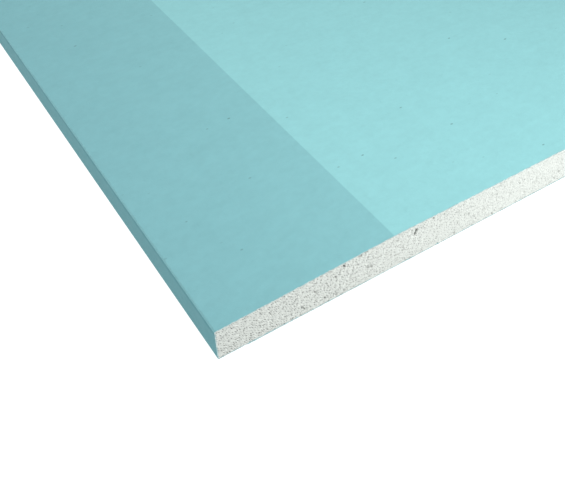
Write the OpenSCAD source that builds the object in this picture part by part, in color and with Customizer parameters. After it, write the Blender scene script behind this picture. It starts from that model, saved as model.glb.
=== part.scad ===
// Moisture-resistant drywall sheet: one full board of paper-faced gypsum with two tapered long edges.
// It lies flat on the floor with its face up. Width runs along X, length along Y, thickness along Z.
// The origin is at the centre of its footprint, on the floor.

/* [Sheet] */

// Width across the two wrapped long edges
sheet_w = 1200; // [600:10:1500]

// Length between the two cut ends
sheet_l = 2400; // [1200:10:3600]

// Thickness of the flat field, papers included
sheet_t = 12.5; // [9.5:0.5:19]

/* [Tapered margins] */

// Width of the sloped margin along each long edge
taper_w = 50; // [20:1:100]

// How far the face has dropped at the long edge
taper_drop = 1.6; // [0.6:0.1:2.5]

/* [Papers] */

// Thickness of the face paper, which also wraps both long edges
face_paper_t = 0.3; // [0.2:0.02:0.4]

// Thickness of the back paper
back_paper_t = 0.25; // [0.15:0.05:0.45]

// Outside radius of the face paper's two folds at a long edge
fold_r = 0.5; // [0.5:0.1:1.5]

// Width of the face paper's flap, turned under onto the back
flap_w = 22; // [12:1:30]

// How far the back paper stops short of a long edge
back_inset = 8; // [3:1:10]

/* [Hidden] */

// Straight steps along each fold's quarter turn
fold_steps = 10;

half_w = sheet_w / 2;
taper_angle = atan(taper_drop / taper_w);
taper_start = half_w - taper_w;
flap_end = half_w - flap_w;

// The flap lies on top of the back paper, so the core is stepped up over it
flap_bottom = back_paper_t;
flap_top = flap_bottom + face_paper_t;

// Both folds turn about centres that the paper's inner and outer faces share
fold_x = half_w - fold_r;
upper_fold_z = face_height(fold_x) - fold_r / cos(taper_angle);
lower_fold_z = flap_bottom + fold_r;

paper_color = "#a0dde1";
back_color = "#9fd3d6";
gypsum_color = "#dfe3dd";

// Height of the face at a distance x from the centre line, out on the margin
function face_height(x) = sheet_t - (x - taper_start) * tan(taper_angle);

// Points around a fold, from one angle to another
function fold_points(centre_z, radius, from, to) = [
    for (i = [0 : fold_steps])
        let (a = from + (to - from) * i / fold_steps)
            [fold_x + radius * cos(a), centre_z + radius * sin(a)]
];

// Right half of the wrapped outline, a depth inside the paper's outer face:
// along the flap, around both folds, and up the margin to the flat field
function half_wrap(depth) = concat(
    [[flap_end, flap_bottom + depth]],
    fold_points(lower_fold_z, fold_r - depth, -90, 0),
    fold_points(upper_fold_z, fold_r - depth, 0, 90 - taper_angle),
    [[taper_start - depth * tan(taper_angle / 2), sheet_t - depth]]
);

function mirrored(points) = [for (i = [len(points) - 1 : -1 : 0]) [-points[i][0], points[i][1]]];

// From the right flap over the face to the left flap
function wrap(depth) = concat(half_wrap(depth), mirrored(half_wrap(depth)));

function reversed(points) = [for (i = [len(points) - 1 : -1 : 0]) points[i]];

// Runs a cross-section, drawn in X and Z, along the whole length
module along_length() {
    rotate([90, 0, 0])
        linear_extrude(height = sheet_l, center = true)
            children();
}

// Solid gypsum, bare at both cut ends
module gypsum_core() {
    back_step = [[-flap_end, back_paper_t], [flap_end, back_paper_t]];
    color(gypsum_color)
        along_length()
            polygon(concat(wrap(face_paper_t), back_step));
}

// One sheet of paper over the face, around both long edges and under onto the back
module face_paper() {
    color(paper_color)
        along_length()
            polygon(concat(wrap(0), reversed(wrap(face_paper_t))));
}

// Flat sheet of paper over the back, lapping both flaps
module back_paper() {
    back_w = sheet_w - 2 * back_inset;
    color(back_color)
        translate([-back_w / 2, -sheet_l / 2, 0])
            cube([back_w, sheet_l, back_paper_t]);
}

gypsum_core();
face_paper();
back_paper();
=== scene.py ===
"""Looks of a moisture-resistant drywall sheet, laid face up on a pale floor.

Metres throughout, in the CAD frame: X across the width, Y along the length, Z up. The camera looks
down on the corner at low X and low Y, where a paper-wrapped long edge meets a cut end.
"""
from math import atan2, cos, pi, radians, sin, tan

import bpy
import numpy as np
from mathutils import Matrix, Vector


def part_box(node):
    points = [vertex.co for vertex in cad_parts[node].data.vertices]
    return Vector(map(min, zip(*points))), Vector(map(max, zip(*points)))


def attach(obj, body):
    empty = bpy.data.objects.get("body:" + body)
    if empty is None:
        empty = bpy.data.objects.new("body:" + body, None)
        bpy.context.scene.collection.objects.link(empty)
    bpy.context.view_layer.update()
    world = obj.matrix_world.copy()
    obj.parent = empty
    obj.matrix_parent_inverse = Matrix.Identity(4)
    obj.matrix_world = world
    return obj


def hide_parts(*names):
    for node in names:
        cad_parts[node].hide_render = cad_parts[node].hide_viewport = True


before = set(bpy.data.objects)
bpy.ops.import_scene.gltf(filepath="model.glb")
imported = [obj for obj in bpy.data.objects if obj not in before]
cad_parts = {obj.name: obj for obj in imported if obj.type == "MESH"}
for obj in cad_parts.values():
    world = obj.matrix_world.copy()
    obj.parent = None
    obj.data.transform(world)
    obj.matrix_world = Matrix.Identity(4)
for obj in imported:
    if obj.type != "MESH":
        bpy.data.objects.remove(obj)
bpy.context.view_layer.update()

MM = 0.001

# ---------------------------------------------------------------- sizes

PAPER_LOW, PAPER_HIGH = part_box("face_paper")
CORE_LOW, CORE_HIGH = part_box("gypsum_core")
_, BACK_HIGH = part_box("back_paper")

HALF_W = PAPER_HIGH.x
NEAR_Y = PAPER_LOW.y
FAR_Y = PAPER_HIGH.y
TOP_Z = PAPER_HIGH.z
PAPER_T = PAPER_HIGH.z - CORE_HIGH.z
BACK_T = BACK_HIGH.z
BACK_HALF_W = BACK_HIGH.x

# These repeat part.scad's own sizes
TAPER_W = 50 * MM
TAPER_DROP = 1.6 * MM
FOLD_R = 0.5 * MM
FLAP_W = 22 * MM

TAPER_ANGLE = atan2(TAPER_DROP, TAPER_W)
TAPER_START = HALF_W - TAPER_W
FLAP_END = HALF_W - FLAP_W
FOLD_X = HALF_W - FOLD_R
LOWER_FOLD_Z = BACK_T + FOLD_R
UPPER_FOLD_Z = TOP_Z - (FOLD_X - TAPER_START) * tan(TAPER_ANGLE) - FOLD_R / cos(TAPER_ANGLE)
CORE_FOLD_R = FOLD_R - PAPER_T

# Studio. The fill is placed from the corner that the camera looks at.
SKY = 0.40
KEY_POWER = 65
KEY_PLACE = (-0.9, 0.5, 3.2)
KEY_SIZE = 2.0
FILL_POWER = 0.116
FILL_SPREAD = 60
FILL_SIZE = 0.10
FILL_PLACE = Vector((283, -241, 220)) * MM
FILL_TARGET = Vector((50, 30, 0)) * MM
FLOOR_ALBEDO = 0.4
FLOOR_GLOW = 0.85

# Open pores of the gypsum: narrow, all leaning about the same way, and staggered from column to column
PORE_LEAN = radians(26)
PORE_LEAN_SPREAD = 18
PORE_STRETCH = (1.2, 2.8)
PORE_STAGGER = 0.5
PORE_RANDOMNESS = 0.75

# The fine pores are drawn by the material, as width, length and radius in units of the width
SMALL_PORES = (0.46 * MM, 1.50 * MM, 0.26)
TINY_PORES = (0.33 * MM, 1.10 * MM, 0.25)
TINY_DEPTH = 0.4
# Strength of the painted shade that greys the fine pores and the bubbles, and the bubble depth in mm at
# which it is full
FINE_PORE_SHADE = 0.95
BUBBLE_PORE_SHADE = 0.72
BUBBLE_DEPTH = 0.30
PIT_BUMP = 0.10 * MM
WEAVE_BUMP = 0.035 * MM

# Distances from the long edges over which the pores and their contrast build up; the contrast is painted
# shade in the pores
EDGE_REACH = 100 * MM
PORE_FADE_START = 90 * MM
PORE_FADE_END = 38 * MM
INNER_PORE_SHADE = 0.33
# The gypsum is painted darker towards the long edges, as shade; this is its tone at the edge
EDGE_PAINTED_SHADE = 0.90

# The large void in the cut end, from the long edge and the floor
VOID_X = 57 * MM
VOID_Z = 9.8 * MM

# Stretch at the corner where the bubbles are narrow
NARROW_STRETCH = 22 * MM

# Bubbles of each stretch: how many per square mm, then the smallest and largest half-width
NARROW_BUBBLES = (0.13, 0.14 * MM, 0.20 * MM)
WIDE_BUBBLES = (0.12, 0.18 * MM, 0.29 * MM)
COARSE_BUBBLES = (0.035, 0.7 * MM, 1.2 * MM)

# Sawn surface: height and size of its waves, and height and shortest size of its ridges
WAVE_HEIGHT, WAVE_SIZE = 0.020 * MM, 4 * MM
RIDGE_HEIGHT, RIDGE_SIZE = 0.045 * MM, 1.4 * MM

# Detail of the cut ends. The fine stretch is the corner that the camera looks at.
FINE_STRETCH = 130 * MM
FINE_STEP = 0.2 * MM
COARSE_STEP = 0.75 * MM
FINE_ROWS = 60
ROWS_RATIO = 4
PAPER_STEP = 0.6 * MM
RAGGED_REACH = 0.10 * MM


# ---------------------------------------------------------------- noise and pits on the cut ends

def lattice_noise(rng, u, v, cell):
    """Smooth random values from -1 to 1 at the points (u, v), with features of one cell."""
    gu, gv = (u - u.min()) / cell, (v - v.min()) / cell
    lattice = rng.uniform(-1, 1, (int(gu.max()) + 2, int(gv.max()) + 2))
    iu, iv = gu.astype(int), gv.astype(int)
    fu, fv = gu - iu, gv - iv
    fu, fv = fu * fu * (3 - 2 * fu), fv * fv * (3 - 2 * fv)
    low = lattice[iu, iv] * (1 - fu) + lattice[iu + 1, iv] * fu
    high = lattice[iu, iv + 1] * (1 - fu) + lattice[iu + 1, iv + 1] * fu
    return low * (1 - fv) + high * fv


def rough_cut(rng, x, z, step):
    """Depth of the sawn surface's own unevenness, from nothing upwards. Its ridges lean with the pores."""
    across = x * cos(PORE_LEAN) + z * sin(PORE_LEAN)
    along = z * cos(PORE_LEAN) - x * sin(PORE_LEAN)
    wave = WAVE_HEIGHT * lattice_noise(rng, x, z, WAVE_SIZE)
    ridges = RIDGE_HEIGHT * lattice_noise(rng, across * 3, along, max(RIDGE_SIZE, 3 * step))
    depth = wave + ridges
    return depth - depth.min()


def bubble_list(rng, x_range, z_range, per_mm2, small, large):
    """Random air bubbles that the cut opened: (x, z, half-widths, turn, depth) each, mostly small."""
    area = (x_range[1] - x_range[0]) * (z_range[1] - z_range[0]) / MM ** 2
    for _ in range(int(per_mm2 * area)):
        size = small + (large - small) * rng.random() ** 2.5
        lean = PORE_LEAN_SPREAD
        yield (rng.uniform(*x_range), rng.uniform(*z_range), size, size * rng.uniform(*PORE_STRETCH),
               PORE_LEAN + radians(rng.uniform(-lean, lean)), size * rng.uniform(0.8, 1.7))


def dig(depth, x, z, bubble):
    """Lowers the grid to a bubble's wall. depth, x and z are arrays of columns by rows."""
    bx, bz, across, along, turn, deepest = bubble
    reach = max(across, along)
    first = np.searchsorted(x[:, 0], bx - reach)
    last = np.searchsorted(x[:, 0], bx + reach)
    du, dv = x[first:last] - bx, z[first:last] - bz
    u = (du * cos(turn) + dv * sin(turn)) / across
    v = (dv * cos(turn) - du * sin(turn)) / along
    bowl = deepest * np.sqrt(np.clip(1 - u * u - v * v, 0, None))
    depth[first:last] = np.maximum(depth[first:last], bowl)


# ---------------------------------------------------------------- the gypsum core

def core_top(x):
    """Height of the core's upper side at each x."""
    ax = np.abs(x)
    margin = TOP_Z - (ax - TAPER_START) * tan(TAPER_ANGLE) - PAPER_T / cos(TAPER_ANGLE)
    fold = UPPER_FOLD_Z + np.sqrt(np.clip(CORE_FOLD_R ** 2 - (ax - FOLD_X) ** 2, 0, None))
    height = np.minimum(CORE_HIGH.z, margin)
    return np.where(ax > FOLD_X + CORE_FOLD_R * sin(TAPER_ANGLE), fold, height)


def core_bottom(x):
    """Height of the core's lower side at each x, stepped up over the flaps."""
    ax = np.abs(x)
    fold = LOWER_FOLD_Z - np.sqrt(np.clip(CORE_FOLD_R ** 2 - (ax - FOLD_X) ** 2, 0, None))
    flat = np.where(ax > FLAP_END, BACK_T + PAPER_T, BACK_T)
    return np.where(ax > FOLD_X, fold, flat)


def core_columns(steps):
    """Sorted x places of a cut end's columns: even steps, with one at each change of the outline."""
    corners = [FOLD_X + CORE_FOLD_R * sin(radians(a)) for a in (0, 20, 40, 60, 75, 90)]
    corners += [TAPER_START, FLAP_END - 0.01 * MM, FLAP_END + 0.01 * MM]
    special = np.array(sorted([-c for c in corners] + corners))
    regular = []
    for start, end, step in steps:
        regular.extend(np.linspace(start, end, int(round((end - start) / step)), endpoint=False))
    regular = np.array(regular)
    gap = np.abs(regular[:, None] - special[None, :]).min(axis=1)
    return np.unique(np.concatenate([regular[gap > 0.08 * MM], special]))


def end_block(columns, rows, y, inward, rng, step, bubbles):
    """Points and pore depths of one rectangular block of a cut end, as columns by rows."""
    share = np.linspace(0, 1, rows + 1)
    low, high = core_bottom(columns), core_top(columns)
    x = np.repeat(columns[:, None], rows + 1, axis=1)
    z = low[:, None] + (high - low)[:, None] * share[None, :]
    pits = np.zeros_like(x)
    for bubble in bubbles:
        dig(pits, x, z, bubble)
    depth = rough_cut(rng, x, z, step) + pits
    points = np.stack([x, y + inward * depth, z], axis=-1)
    return points, pits


class MeshParts:
    """Collects points, faces and a pore value per point for one closed mesh."""

    def __init__(self):
        self.points, self.pores, self.faces, self.smooth = [], [], [], []

    def add_block(self, points, pits):
        """Adds a block's points and returns their numbers, as columns by rows."""
        start = sum(len(p) for p in self.points)
        self.points.append(points.reshape(-1, 3))
        self.pores.append(pits.reshape(-1))
        return start + np.arange(pits.size).reshape(pits.shape)

    def add_faces(self, faces, smooth):
        self.faces.extend(faces)
        self.smooth.extend([smooth] * len(faces))


def grid_faces(ids, flip):
    """Quads of a block, facing -Y, or +Y when flipped."""
    a, b, c, d = ids[:-1, :-1], ids[1:, :-1], ids[1:, 1:], ids[:-1, 1:]
    order = (a, d, c, b) if flip else (a, b, c, d)
    return np.stack([o.ravel() for o in order], axis=1).tolist()


def join_faces(fine, coarse):
    """Faces between a fine block's last column and the next block's first, several rows to one."""
    faces = []
    for row in range(len(coarse) - 1):
        left = fine[row * ROWS_RATIO:(row + 1) * ROWS_RATIO + 1]
        faces.append([int(coarse[row]), int(coarse[row + 1])] + [int(i) for i in left[::-1]])
    return faces


def strip_faces(near, far, near_at, far_at, flip):
    """Triangles between two rows of points that run the same way with their own spacing."""
    faces, i, j = [], 0, 0
    while i < len(near) - 1 or j < len(far) - 1:
        step_near = j == len(far) - 1 or (i < len(near) - 1 and near_at[i + 1] <= far_at[j + 1])
        if step_near:
            face, i = (near[i], near[i + 1], far[j]), i + 1
        else:
            face, j = (near[i], far[j + 1], far[j]), j + 1
        faces.append([int(n) for n in (face[::-1] if flip else face)])
    return faces


def fine_bubbles(rng):
    """Bubbles of the corner that the camera looks at, wider further in, and the one large void there."""
    corner, wider = CORE_LOW.x, CORE_LOW.x + NARROW_STRETCH
    z_range = (CORE_LOW.z, CORE_HIGH.z)
    yield from bubble_list(rng, (corner, wider), z_range, *NARROW_BUBBLES)
    yield from bubble_list(rng, (wider, corner + FINE_STRETCH), z_range, *WIDE_BUBBLES)
    void_x, void_z = -HALF_W + VOID_X, VOID_Z
    yield (void_x + 0.15 * MM, void_z + 0.45 * MM, 0.45 * MM, 0.60 * MM, radians(10), 1.6 * MM)
    yield (void_x - 0.1 * MM, void_z - 0.5 * MM, 0.35 * MM, 0.55 * MM, radians(-10), 1.1 * MM)


def coarse_bubbles(rng, x_from):
    """The larger bubbles of a cut end's plainer stretch."""
    x_range, z_range = (x_from, CORE_HIGH.x), (CORE_LOW.z, CORE_HIGH.z)
    yield from bubble_list(rng, x_range, z_range, *COARSE_BUBBLES)


def build_core(rng):
    """The gypsum as one closed mesh with open pores in both cut ends."""
    parts = MeshParts()
    fine_end = CORE_LOW.x + FINE_STRETCH
    coarse_rows = FINE_ROWS // ROWS_RATIO

    near_x = core_columns([(CORE_LOW.x, fine_end, FINE_STEP), (fine_end, CORE_HIGH.x, COARSE_STEP)])
    split = int(np.searchsorted(near_x, fine_end))
    fine = parts.add_block(*end_block(near_x[:split], FINE_ROWS, NEAR_Y, 1, rng, FINE_STEP,
                                      fine_bubbles(rng)))
    coarse = parts.add_block(*end_block(near_x[split:], coarse_rows, NEAR_Y, 1, rng, COARSE_STEP,
                                        coarse_bubbles(rng, fine_end)))
    far_x = core_columns([(CORE_LOW.x, CORE_HIGH.x, COARSE_STEP)])
    far = parts.add_block(*end_block(far_x, coarse_rows, FAR_Y, -1, rng, COARSE_STEP,
                                     coarse_bubbles(rng, CORE_LOW.x)))

    parts.add_faces(grid_faces(fine, False), True)
    parts.add_faces(join_faces(fine[-1], coarse[0]), True)
    parts.add_faces(grid_faces(coarse, False), True)
    parts.add_faces(grid_faces(far, True), True)

    near_low = np.concatenate([fine[:, 0], coarse[:, 0]])
    near_high = np.concatenate([fine[:, -1], coarse[:, -1]])
    parts.add_faces(strip_faces(near_low, far[:, 0], near_x, far_x, True), False)
    parts.add_faces(strip_faces(near_high, far[:, -1], near_x, far_x, False), False)
    fine_at = np.linspace(0, 1, FINE_ROWS + 1)
    coarse_at = np.linspace(0, 1, coarse_rows + 1)
    parts.add_faces(strip_faces(fine[0], far[0], fine_at, coarse_at, False), False)
    parts.add_faces(strip_faces(coarse[-1], far[-1], coarse_at, coarse_at, True), False)

    piece = mesh_object("core_gypsum", np.concatenate(parts.points), parts.faces)
    piece.data.polygons.foreach_set("use_smooth", parts.smooth)
    pore = piece.data.attributes.new("pore", "FLOAT", "POINT")
    pore.data.foreach_set("value", np.concatenate(parts.pores) / MM)
    return piece


# ---------------------------------------------------------------- the papers

def evenly(start, end, step):
    """Places from start up to, but not including, end."""
    return np.linspace(start, end, max(1, int(round(abs(end - start) / step))), endpoint=False)


def half_wrap_path(step):
    """(x, z, normal x, normal z) along the face paper's outside, from the right flap to the middle."""
    path = [(x, BACK_T, 0, -1) for x in evenly(FLAP_END, FOLD_X, step)]
    path += fold_path(LOWER_FOLD_Z, -90, 0)
    path += [(HALF_W, z, 1, 0) for z in evenly(LOWER_FOLD_Z, UPPER_FOLD_Z, step)[1:]]
    path += fold_path(UPPER_FOLD_Z, 0, 90 - TAPER_ANGLE * 180 / pi)
    slope_x, slope_z = sin(TAPER_ANGLE), cos(TAPER_ANGLE)
    margin_end = FOLD_X + FOLD_R * slope_x
    for x in evenly(margin_end, TAPER_START, step)[1:]:
        path.append((x, TOP_Z - (x - TAPER_START) * tan(TAPER_ANGLE), slope_x, slope_z))
    path.append((TAPER_START, TOP_Z, tan(TAPER_ANGLE / 2), 1))
    path += [(x, TOP_Z, 0, 1) for x in evenly(TAPER_START, 0, step)[1:]]
    return path


def fold_path(centre_z, start, end, steps=10):
    """The same for one fold's quarter turn."""
    turns = [radians(start + (end - start) * i / steps) for i in range(steps + 1)]
    return [(FOLD_X + FOLD_R * cos(a), centre_z + FOLD_R * sin(a), cos(a), sin(a)) for a in turns]


def face_paper_path():
    right = half_wrap_path(PAPER_STEP)
    left = [(-x, z, -nx, nz) for x, z, nx, nz in reversed(right)]
    return np.array(right + [(0, TOP_Z, 0, 1)] + left)


def back_paper_path():
    across = np.append(evenly(-BACK_HALF_W, BACK_HALF_W, PAPER_STEP), BACK_HALF_W)
    zero = np.zeros_like(across)
    return np.stack([across, zero, zero, zero - 1], axis=1)


def ragged(rng, count, reach):
    """How far each place on a cut paper edge stands back, with fibre-sized steps and longer waves."""
    fibres = rng.random(count) ** 2
    places = np.arange(count) * PAPER_STEP
    wave = lattice_noise(rng, places, places * 0, 12 * MM) * 0.5 + 0.5
    return reach * (0.6 * fibres + 0.4 * wave)


def build_paper(rng, name, path, thickness):
    """A closed skin of one thickness along a path, from one cut end to the other."""
    count = len(path)
    outer = path[:, :2]
    inner = outer - path[:, 2:] * thickness
    near = NEAR_Y + ragged(rng, count, RAGGED_REACH)
    far = FAR_Y - ragged(rng, count, RAGGED_REACH)
    rows = []
    for section, y in ((outer, near), (inner, near), (inner, far), (outer, far)):
        rows.append(np.stack([section[:, 0], y, section[:, 1]], axis=1))
    ids = np.arange(4 * count).reshape(4, count)
    faces = []
    for a, b in ((0, 1), (1, 2), (2, 3), (3, 0)):
        quads = np.stack([ids[a, :-1], ids[a, 1:], ids[b, 1:], ids[b, :-1]], axis=1)
        faces.extend(quads.tolist())
    faces.append(ids[:, 0].tolist())
    faces.append(ids[::-1, -1].tolist())
    return mesh_object(name, np.concatenate(rows), faces)


def mesh_object(name, points, faces):
    """A shown object from points and faces, whose corners are given so that they face outwards."""
    mesh = bpy.data.meshes.new(name)
    mesh.from_pydata(points.tolist(), [], faces)
    mesh.validate()
    piece = bpy.data.objects.new(name, mesh)
    bpy.context.scene.collection.objects.link(piece)
    return piece


# ---------------------------------------------------------------- node helpers

class Shader:
    """A short way to write a node material."""

    def __init__(self, name):
        self.material = bpy.data.materials.new(name)
        self.material.use_nodes = True
        self.tree = self.material.node_tree
        self.bsdf = self.tree.nodes["Principled BSDF"]

    def node(self, kind, **settings):
        made = self.tree.nodes.new("ShaderNode" + kind)
        for key, value in settings.items():
            setattr(made, key, value)
        return made

    def put(self, value, socket):
        """Links an output to a socket, or sets the socket to a number or colour."""
        if isinstance(value, bpy.types.NodeSocket):
            self.tree.links.new(value, socket)
        else:
            socket.default_value = value

    def math(self, operation, a, b=0.0):
        made = self.node("Math", operation=operation)
        self.put(a, made.inputs[0])
        self.put(b, made.inputs[1])
        return made.outputs[0]

    def ramp(self, value, low, high, to_low=0.0, to_high=1.0, smooth=False):
        """value from low..high onto to_low..to_high, held at the ends."""
        made = self.node("MapRange", interpolation_type="SMOOTHSTEP" if smooth else "LINEAR")
        for socket, put in zip(made.inputs, (value, low, high, to_low, to_high)):
            self.put(put, socket)
        return made.outputs[0]

    def mix(self, factor, a, b, blend="MIX"):
        made = self.node("Mix", data_type="RGBA", blend_type=blend)
        self.put(factor, made.inputs[0])
        self.put(a, made.inputs[6])
        self.put(b, made.inputs[7])
        return made.outputs[2]

    def place(self, scale=(1, 1, 1)):
        """The object's own coordinates, stretched along its axes."""
        coords = self.node("TexCoord").outputs["Object"]
        mapping = self.node("Mapping")
        self.put(coords, mapping.inputs["Vector"])
        mapping.inputs["Scale"].default_value = scale
        return mapping.outputs[0]

    def noise(self, feature, detail=2.0, stretch=(1, 1, 1), rough=0.5):
        """Noise from 0 to 1 with features of about that many metres."""
        made = self.node("TexNoise")
        self.put(self.place(stretch), made.inputs["Vector"])
        made.inputs["Scale"].default_value = 1 / feature
        made.inputs["Detail"].default_value = detail
        made.inputs["Roughness"].default_value = rough
        return made.outputs["Fac"]

    def cells(self, feature, stretch=(1, 1, 1)):
        """Distance from the nearest of scattered points, in units of their spacing, and its colour."""
        made = self.node("TexVoronoi")
        self.put(self.place(stretch), made.inputs["Vector"])
        made.inputs["Scale"].default_value = 1 / feature
        return made.outputs["Distance"], made.outputs["Color"]

    def leaning(self, across, along):
        """A cut end's X and Z as flat coordinates that lean with the pores, in units of their size.
        Neighbouring columns are staggered, so that pores don't line up in rows."""
        mapping = self.node("Mapping", vector_type="TEXTURE")
        self.put(self.node("TexCoord").outputs["Object"], mapping.inputs["Vector"])
        mapping.inputs["Rotation"].default_value = (0, -PORE_LEAN, 0)
        mapping.inputs["Scale"].default_value = (across, 1, along)
        split, flat = self.node("SeparateXYZ"), self.node("CombineXYZ")
        self.put(mapping.outputs[0], split.inputs[0])
        stagger = self.math("MULTIPLY", split.outputs["X"], PORE_STAGGER)
        self.put(split.outputs["X"], flat.inputs["X"])
        self.put(self.math("ADD", split.outputs["Z"], stagger), flat.inputs["Y"])
        return flat.outputs[0]

    def weave(self, across, along):
        """Noise from 0 to 1 drawn out along the pores, on a cut end."""
        made = self.node("TexNoise", noise_dimensions="2D")
        self.put(self.leaning(across, along), made.inputs["Vector"])
        made.inputs["Scale"].default_value = 1
        made.inputs["Detail"].default_value = 0.5
        return made.outputs["Fac"]

    def pores(self, across, along, radius):
        """1 in scattered leaning pores on a cut end, 0 between them. Each one's depth is random."""
        cells = self.node("TexVoronoi", voronoi_dimensions="2D")
        self.put(self.leaning(across, along), cells.inputs["Vector"])
        cells.inputs["Scale"].default_value = 1
        cells.inputs["Randomness"].default_value = PORE_RANDOMNESS
        chance = self.node("SeparateColor")
        self.put(cells.outputs["Color"], chance.inputs[0])
        deep = self.ramp(chance.outputs[0], 0, 1, 0.25, 1.0)
        inside = self.ramp(cells.outputs["Distance"], radius * 0.5, radius, 1, 0, smooth=True)
        return self.math("MULTIPLY", inside, deep)

    def bump(self, height, distance, under=None):
        made = self.node("Bump")
        self.put(height, made.inputs["Height"])
        made.inputs["Distance"].default_value = distance
        made.inputs["Strength"].default_value = 1.0
        if under is not None:
            self.put(under, made.inputs["Normal"])
        return made.outputs[0]

    def axis(self, name):
        """The X, Y or Z place on the object."""
        split = self.node("SeparateXYZ")
        self.put(self.place(), split.inputs[0])
        return split.outputs[name]

    def grey(self, value):
        made = self.node("CombineColor")
        for socket in made.inputs[:3]:
            self.put(value, socket)
        return made.outputs[0]


# ---------------------------------------------------------------- materials

FIELD_TEAL = (0.290, 0.628, 0.652, 1)
# The margins' teal is the field's paper with painted shade, standing in for the taper's shading
MARGIN_SHADED_TEAL = (0.238, 0.530, 0.563, 1)
# Painted shade: the margins darker still towards the fold
MARGIN_OUTER_SHADED_TEAL = (0.220, 0.492, 0.531, 1)
# Painted highlight: the fold's arc lighter than the margin beside it
CREASE_HIGHLIGHT_TEAL = (0.242, 0.525, 0.565, 1)
# Painted shade: the long edges' side faces darker, on top of the shade the lamps give them
EDGE_SHADED_TEAL = (0.128, 0.349, 0.386, 1)
# Painted shadow: a dark line on the side face just under the upper fold
FOLD_SHADOW_TEAL = (0.090, 0.296, 0.331, 1)
BACK_TEAL = (0.270, 0.570, 0.590, 1)
BACK_TEAL_DARK = (0.255, 0.540, 0.560, 1)
SPECK_TEAL = (0.05, 0.09, 0.09, 1)
FACE_CUT = (0.400, 0.570, 0.585, 1)
BACK_CUT = (0.440, 0.655, 0.670, 1)
GYPSUM = (0.763, 0.809, 0.767, 1)
GYPSUM_DULL = (0.740, 0.783, 0.742, 1)
# Grey of the painted shade in the gypsum's pores
PORE_SHADE_GREY = (0.060, 0.064, 0.060, 1)

# Dark specks of the papers
SPECK_SPACING = 4.0 * MM
SPECK_RADIUS = 0.34 * MM
SPECK_DEPTH = 0.56


def paper_mottle(sh):
    """Cloudy pulp, short fibres and faint streaks across the sheet, as a factor close to 1."""
    clouds = sh.ramp(sh.noise(7 * MM, detail=3.0, rough=0.6), 0.3, 0.7, 0.982, 1.018)
    fibres = sh.ramp(sh.noise(1.8 * MM, detail=3.0, stretch=(0.6, 1, 1)), 0.3, 0.7, 0.976, 1.024)
    streaks = sh.ramp(sh.noise(3 * MM, detail=2.0, stretch=(0.10, 1, 1)), 0.3, 0.7, 0.993, 1.007)
    return sh.math("MULTIPLY", sh.math("MULTIPLY", clouds, fibres), streaks)


def specks(sh, spacing, radius):
    """Tiny dark bits in the paper: 0 between them, and up to 1 on the darkest of them."""
    distance, colour = sh.cells(spacing, stretch=(0.55, 1, 1))
    chance = sh.node("SeparateColor")
    sh.put(colour, chance.inputs[0])
    near = sh.ramp(distance, radius / spacing * 0.5, radius / spacing, 1, 0)
    return sh.math("MULTIPLY", near, sh.math("POWER", chance.outputs[0], 2.0))


def finish_paper(sh, colour):
    """Mottle, specks, fibre bump and a matte surface, over a base colour."""
    toned = sh.mix(1.0, colour, sh.grey(paper_mottle(sh)), "MULTIPLY")
    dark = sh.math("MULTIPLY", specks(sh, SPECK_SPACING, SPECK_RADIUS), SPECK_DEPTH)
    sh.put(sh.mix(dark, toned, SPECK_TEAL), sh.bsdf.inputs["Base Color"])
    sh.put(sh.ramp(sh.noise(2.5 * MM, detail=3.0), 0.3, 0.7, 0.72, 0.86), sh.bsdf.inputs["Roughness"])
    sh.bsdf.inputs["Specular IOR Level"].default_value = 0.3
    broad = sh.bump(sh.noise(14 * MM, detail=2.0), 0.10 * MM)
    pimple, _ = sh.cells(4.5 * MM)
    lumps = sh.bump(sh.ramp(pimple, 0.08, 0.26, 1, 0, smooth=True), 0.04 * MM, under=broad)
    fine = sh.bump(sh.noise(0.9 * MM, detail=3.0, stretch=(0.6, 1, 1)), 0.08 * MM, under=lumps)
    sh.put(fine, sh.bsdf.inputs["Normal"])


def face_paper_material():
    """Light teal on the field, darker on the margins and darkest on the long edges, all as painted shade
    on one paper; the fold's arc has a painted highlight, with a painted shadow just under it.
    """
    sh = Shader("face_paper_teal")
    away, up = sh.math("ABSOLUTE", sh.axis("X")), sh.axis("Z")
    # Painted shade: the tapered margins darker than the field, and darker still towards the fold
    colour = sh.mix(sh.ramp(away, TAPER_START, FOLD_X), MARGIN_SHADED_TEAL, MARGIN_OUTER_SHADED_TEAL)
    # Painted highlight: the fold's arc lighter than the margin beside it
    colour = sh.mix(sh.ramp(away, FOLD_X, HALF_W), colour, CREASE_HIGHLIGHT_TEAL)
    on_field = sh.ramp(away, TAPER_START + 0.15 * MM, TAPER_START - 0.15 * MM)
    colour = sh.mix(on_field, colour, FIELD_TEAL)
    # Painted shade: the long edge's side face below the ridge darker, on top of the lamps' own shade
    on_edge = sh.math("MULTIPLY", sh.ramp(away, FOLD_X, FOLD_X + 0.1 * MM),
                      sh.ramp(up, UPPER_FOLD_Z + 0.12 * MM, UPPER_FOLD_Z + 0.02 * MM))
    # Painted shadow: the top of the side face, just under the upper fold, darkest
    in_fold_shadow = sh.ramp(up, UPPER_FOLD_Z - 1.5 * MM, UPPER_FOLD_Z - 0.9 * MM)
    colour = sh.mix(on_edge, colour, sh.mix(in_fold_shadow, EDGE_SHADED_TEAL, FOLD_SHADOW_TEAL))
    finish_paper(sh, colour)
    return sh.material


def back_paper_material():
    """The plainer paper of the back."""
    sh = Shader("back_paper_teal")
    finish_paper(sh, sh.mix(sh.noise(40 * MM, detail=3.0), BACK_TEAL, BACK_TEAL_DARK))
    return sh.material


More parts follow.
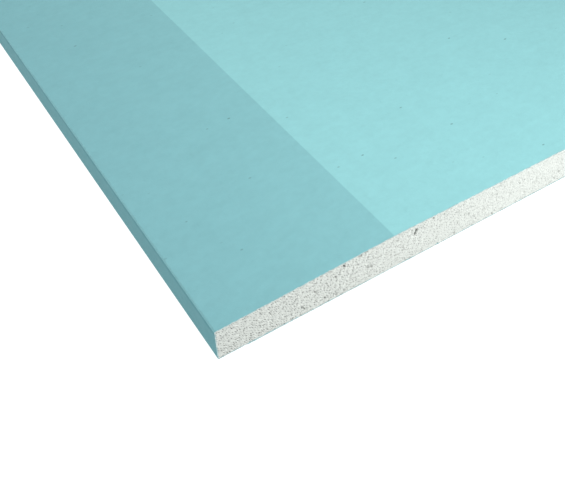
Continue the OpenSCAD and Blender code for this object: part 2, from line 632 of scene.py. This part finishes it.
def cut_paper_material(name, tone):
    """The cut edge of a paper, fuzzy with torn fibres and dusted here and there with gypsum."""
    sh = Shader(name)
    fuzz = sh.noise(0.25 * MM, detail=3.0)
    shade = sh.grey(sh.ramp(fuzz, 0.35, 0.65, 0.84, 1.0))
    dust = sh.ramp(sh.noise(1.0 * MM, detail=1.0), 0.50, 0.62, 0.0, 0.75)
    sh.put(sh.mix(1.0, sh.mix(dust, tone, GYPSUM), shade, "MULTIPLY"), sh.bsdf.inputs["Base Color"])
    sh.put(sh.bump(fuzz, 0.05 * MM), sh.bsdf.inputs["Normal"])
    sh.bsdf.inputs["Roughness"].default_value = 0.9
    sh.bsdf.inputs["Specular IOR Level"].default_value = 0.2
    return sh.material


def gypsum_material():
    """White set gypsum with open pores, fine ones in the nodes and larger ones in the mesh. The pores'
    grey is painted shade in their hollows, and the gypsum is painted darker towards the long edges, as
    shade.
    """
    sh = Shader("gypsum_white")
    clouds = sh.ramp(sh.noise(4 * MM, detail=1.0), 0.35, 0.7)
    grain = sh.ramp(sh.noise(0.2 * MM, detail=1.0), 0.35, 0.65)
    tone = sh.math("MULTIPLY", sh.math("ADD", clouds, grain), 0.5)
    colour = sh.mix(tone, GYPSUM_DULL, GYPSUM)

    small = sh.pores(*SMALL_PORES)
    tiny = sh.math("MULTIPLY", sh.pores(*TINY_PORES), TINY_DEPTH)
    fine_pore = sh.math("MAXIMUM", small, tiny)
    pore = sh.node("Attribute", attribute_name="pore")
    bubble = sh.ramp(pore.outputs["Fac"], 0.02, BUBBLE_DEPTH)
    # The pores' grey is painted shade in their hollows; the bubbles are also real hollows in the mesh,
    # which the lamps shade as well
    shade = sh.math("MAXIMUM", sh.math("MULTIPLY", fine_pore, FINE_PORE_SHADE),
                    sh.math("MULTIPLY", bubble, BUBBLE_PORE_SHADE))

    away = sh.math("ABSOLUTE", sh.axis("X"))
    near_edge = sh.ramp(away, HALF_W - EDGE_REACH, HALF_W)
    # The painted pore shade is strongest near the long edges and fades inwards
    strength = sh.ramp(away, HALF_W - PORE_FADE_START, HALF_W - PORE_FADE_END, INNER_PORE_SHADE, 1.0)
    shade = sh.math("MULTIPLY", shade, strength)
    # Painted shade: the gypsum darkened towards the long edges, by up to a tenth at the edge
    colour = sh.mix(1.0, colour, sh.grey(sh.ramp(near_edge, 0, 1, 1.0, EDGE_PAINTED_SHADE)), "MULTIPLY")
    weave = sh.ramp(sh.weave(0.18 * MM, 1.1 * MM), 0.3, 0.7, -1, 1)
    woven = sh.math("ADD", 1.0, sh.math("MULTIPLY", weave, sh.ramp(near_edge, 0, 0.65, 0.03, 0.11)))
    colour = sh.mix(1.0, colour, sh.grey(woven), "MULTIPLY")
    sh.put(sh.mix(shade, colour, PORE_SHADE_GREY), sh.bsdf.inputs["Base Color"])

    sh.bsdf.inputs["Roughness"].default_value = 0.95
    sh.bsdf.inputs["Specular IOR Level"].default_value = 0.15
    pitted = sh.bump(sh.math("SUBTRACT", 1.0, fine_pore), PIT_BUMP)
    sh.put(sh.bump(weave, WEAVE_BUMP, under=pitted), sh.bsdf.inputs["Normal"])
    return sh.material


def glow_material(name, albedo, glow):
    """Plain white that also shines a little by itself, as a lit studio sweep does."""
    sh = Shader(name)
    sh.bsdf.inputs["Base Color"].default_value = (albedo, albedo, albedo, 1)
    sh.bsdf.inputs["Roughness"].default_value = 1.0
    sh.bsdf.inputs["Specular IOR Level"].default_value = 0.0
    sh.bsdf.inputs["Emission Color"].default_value = (1, 1, 1, 1)
    sh.bsdf.inputs["Emission Strength"].default_value = glow
    sh.material.cycles.emission_sampling = "NONE"
    return sh.material


# ---------------------------------------------------------------- the object

def place_piece(piece, node, slot, *materials):
    """Puts a piece in the place of its CAD node."""
    for material in materials:
        piece.data.materials.append(material)
    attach(piece, "root")
    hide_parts(node)


def build_object():
    rng = np.random.default_rng(7)
    core = build_core(rng)
    place_piece(core, "gypsum_core", "gypsum", gypsum_material())

    face = build_paper(rng, "paper_face", face_paper_path(), PAPER_T)
    place_piece(face, "face_paper", "face_paper", face_paper_material(),
                cut_paper_material("face_paper_cut", FACE_CUT))

    back = build_paper(rng, "paper_back", back_paper_path(), BACK_T)
    place_piece(back, "back_paper", "back_paper", back_paper_material(),
                cut_paper_material("back_paper_cut", BACK_CUT))
    for paper in (face, back):
        for polygon in paper.data.polygons:
            polygon.material_index = 1 if abs(polygon.normal.y) > 0.5 else 0


# ---------------------------------------------------------------- studio

def build_floor():
    """A level floor, and a round backdrop that only the camera sees."""
    size, radius, height, sides = 20, 14, 9, 96
    corners = np.array([(-size, -size, 0), (size, -size, 0), (size, size, 0), (-size, size, 0)])
    floor = mesh_object("studio_floor", corners, [[0, 1, 2, 3]])
    floor.data.materials.append(glow_material("studio_floor", FLOOR_ALBEDO, FLOOR_GLOW))
    ring = [(radius * cos(2 * pi * i / sides), radius * sin(2 * pi * i / sides)) for i in range(sides)]
    wall = [(x, y, 0) for x, y in ring] + [(x, y, height) for x, y in ring]
    panels = [[i, (i + 1) % sides, sides + (i + 1) % sides, sides + i] for i in range(sides)]
    backdrop = mesh_object("studio_backdrop", np.array(wall), panels)
    backdrop.data.materials.append(glow_material("studio_backdrop", 0.0, 1.0))
    for ray in ("diffuse", "glossy", "transmission", "shadow"):
        setattr(backdrop, "visible_" + ray, False)


def area_light(name, place, target, size, power, spread=180):
    """A square softbox at a place, turned to a target. Spread is its beam's full angle in degrees."""
    data = bpy.data.lights.new(name, "AREA")
    data.shape = "SQUARE"
    data.size = size
    data.energy = power
    data.spread = radians(spread)
    light = bpy.data.objects.new(name, data)
    light.location = place
    light.rotation_mode = "QUATERNION"
    light.rotation_quaternion = (Vector(target) - Vector(place)).to_track_quat("-Z", "Y")
    light.visible_camera = False
    bpy.context.scene.collection.objects.link(light)


def build_lights():
    world = bpy.data.worlds.new("studio")
    world.use_nodes = True
    background = world.node_tree.nodes["Background"]
    background.inputs["Color"].default_value = (1, 1, 1, 1)
    background.inputs["Strength"].default_value = SKY
    bpy.context.scene.world = world
    area_light("key_overhead", KEY_PLACE, (0, 0, 0), KEY_SIZE, KEY_POWER)
    corner = Vector((-HALF_W, NEAR_Y, 0))
    area_light("fill_low", corner + FILL_PLACE, corner + FILL_TARGET, FILL_SIZE, FILL_POWER,
               spread=FILL_SPREAD)


def build_camera():
    """Looks down on the near corner of the sheet. Angles are from the floor and from +Y."""
    heading, elevation, roll = radians(31.585), radians(46.953), radians(-1.362)
    stand_off = Vector((-36.32, -88.58, 141.52)) * MM
    data = bpy.data.cameras.new("camera")
    data.sensor_width = 36
    data.lens = 46.52
    data.clip_start = 0.01
    camera = bpy.data.objects.new("camera", data)
    turn = (Matrix.Rotation(-heading, 4, "Z") @ Matrix.Rotation(pi / 2 - elevation, 4, "X")
            @ Matrix.Rotation(roll, 4, "Z"))
    camera.matrix_world = Matrix.Translation(Vector((-HALF_W, NEAR_Y, 0)) + stand_off) @ turn
    bpy.context.scene.collection.objects.link(camera)
    bpy.context.scene.camera = camera


def set_colour_management():
    view = bpy.context.scene.view_settings
    view.view_transform = "Standard"
    view.look = "None"


build_camera()
build_object()
build_floor()
build_lights()
set_colour_management()
